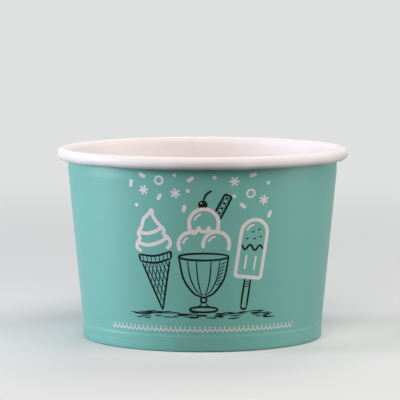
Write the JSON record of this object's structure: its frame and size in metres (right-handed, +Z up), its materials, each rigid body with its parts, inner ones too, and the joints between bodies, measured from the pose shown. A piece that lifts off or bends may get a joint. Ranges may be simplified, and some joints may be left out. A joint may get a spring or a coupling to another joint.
{
  "type": "paper dessert cup",
  "caption": "Short, wide paperboard cup for ice cream: printed tapering wall with a lapped seam, outward-rolled rim, foot folded in under the base, and a raised base disc.",
  "frame": {"origin": "middle of the cup at table level, on the axis of the round wall", "axes": "+Z up along the cup's axis, -Y towards the printed front, +X to the right of someone facing the print; the wall's seam is at +Y"},
  "size_m": [0.095, 0.095, 0.062],
  "materials": {
    "printed_board": "teal print with a satin coating outside, white coated board inside and over the rolled rim",
    "white_board": "white board with a thin satin moisture coating"
  },
  "bodies": {
    "root": {"sidewall": "printed_board", "base_disc": "white_board"}
  },
  "joints": []
}
